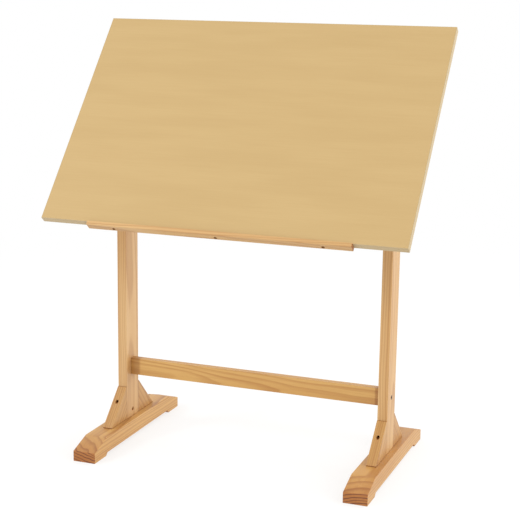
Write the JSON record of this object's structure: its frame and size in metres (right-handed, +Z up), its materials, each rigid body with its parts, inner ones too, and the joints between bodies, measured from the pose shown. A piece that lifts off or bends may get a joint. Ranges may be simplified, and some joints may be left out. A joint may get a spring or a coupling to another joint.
{
  "type": "drafting table",
  "caption": "Free-standing drafting table: a tilting board with a pencil ledge on two T-shaped wooden legs joined by a low stretcher, with star-knob tilt clamps.",
  "frame": {"origin": "on the floor, at the middle of the table's outline seen from above with the board tilted 50 degrees", "axes": "+Z up; +X to the user's right; -Y is the user's side, where the board's lower edge and its pencil ledge are"},
  "size_m": [0.914, 0.5138, 1.0805],
  "materials": {
    "board_laminate": "satin tan wood-grain laminate",
    "board_edge": "pale edge banding",
    "pine": "clear-lacquered pine",
    "dowel_wood": "bare hardwood",
    "bronzed_steel": "dark bronzed",
    "zinc_steel": "bright zinc plated",
    "black_plastic": "matt moulded",
    "brass": "machined"
  },
  "bodies": {
    "stand": {"left_foot": "pine", "right_foot": "pine", "left_post": "pine", "right_post": "pine", "left_front_gusset": "pine", "left_rear_gusset": "pine", "right_front_gusset": "pine", "right_rear_gusset": "pine", "stretcher": "pine", "foot_bolts": "zinc_steel", "foot_barrel_nuts": "zinc_steel", "foot_dowels": "dowel_wood", "gusset_post_screws": "bronzed_steel", "gusset_foot_screws": "bronzed_steel", "stretcher_bolts": "bronzed_steel", "stretcher_barrel_nuts": "zinc_steel", "stretcher_dowels": "dowel_wood", "left_pivot_bolt": "zinc_steel", "right_pivot_bolt": "zinc_steel", "pivot_washers": "zinc_steel", "pivot_lock_nuts": "zinc_steel", "spacer_washers": "black_plastic", "left_clamp_bolt": "zinc_steel", "right_clamp_bolt": "zinc_steel", "clamp_washers": "zinc_steel"},
    "top": {"tabletop": "board_laminate", "edge_banding": "board_edge", "pencil_ledge": "pine", "ledge_screws": "bronzed_steel", "left_batten": "pine", "right_batten": "pine", "batten_screws": "bronzed_steel", "left_tilt_bracket": "pine", "right_tilt_bracket": "pine", "bracket_screws": "bronzed_steel"},
    "left_knob": {"left_clamp_knob": "black_plastic", "left_knob_insert": "brass"},
    "right_knob": {"right_clamp_knob": "black_plastic", "right_knob_insert": "brass"}
  },
  "joints": [
    {"name": "tabletop_tilt", "type": "hinge", "parent": "stand", "child": "top", "pos_m": [0, 0.00685, 0.798], "axis": [1, 0, 0], "range_deg": [-50, 25]},
    {"name": "left_knob_turn", "type": "hinge", "parent": "stand", "child": "left_knob", "pos_m": [-0.3856, 0.00685, 0.698], "axis": [-1, 0, 0], "range_deg": [0, 360]},
    {"name": "right_knob_turn", "type": "hinge", "parent": "stand", "child": "right_knob", "pos_m": [0.3856, 0.00685, 0.698], "axis": [1, 0, 0], "range_deg": [0, 360]}
  ]
}
